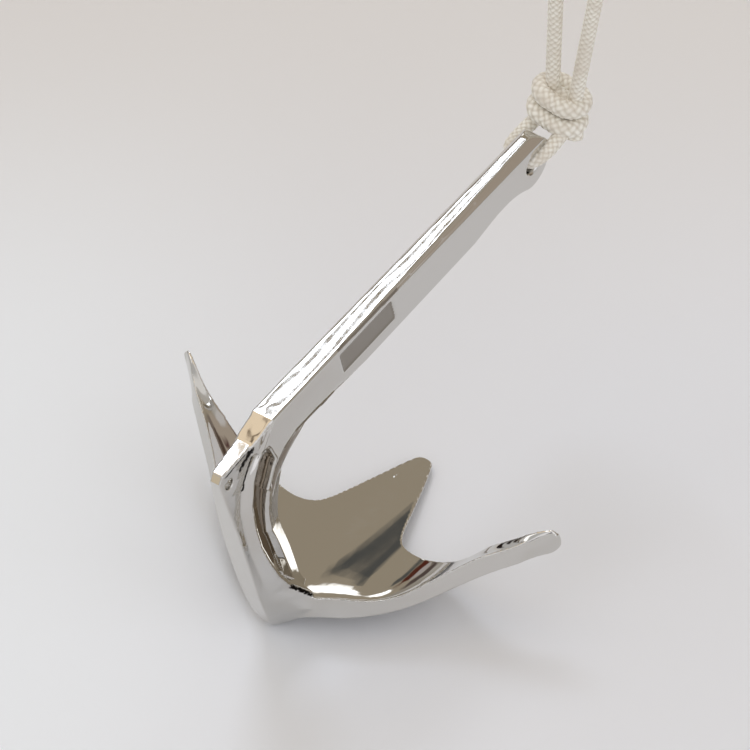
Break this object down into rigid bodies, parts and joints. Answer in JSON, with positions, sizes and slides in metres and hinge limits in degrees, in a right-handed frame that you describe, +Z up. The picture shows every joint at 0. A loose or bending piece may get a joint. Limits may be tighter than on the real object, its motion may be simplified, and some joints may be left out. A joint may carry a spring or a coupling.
{
  "type": "claw anchor",
  "caption": "One-piece cast stainless claw anchor for a small boat, with three flukes, a trip-line hole and an eye, hanging on a knotted loop of braided cord.",
  "frame": {"origin": "inside of the top of the cord loop, where a hook or hand carries the anchor", "axes": "+X forward along the shank and the centre fluke, +Y towards the left fluke, +Z up"},
  "size_m": [0.2539, 0.189, 0.2423],
  "materials": {
    "polished_stainless": "mirror polished",
    "braided_cord": "braided, matte"
  },
  "bodies": {
    "root": {"anchor_casting": "polished_stainless", "eye_cord": "braided_cord", "cord_knot": "braided_cord", "hanging_loop": "braided_cord"}
  },
  "joints": []
}
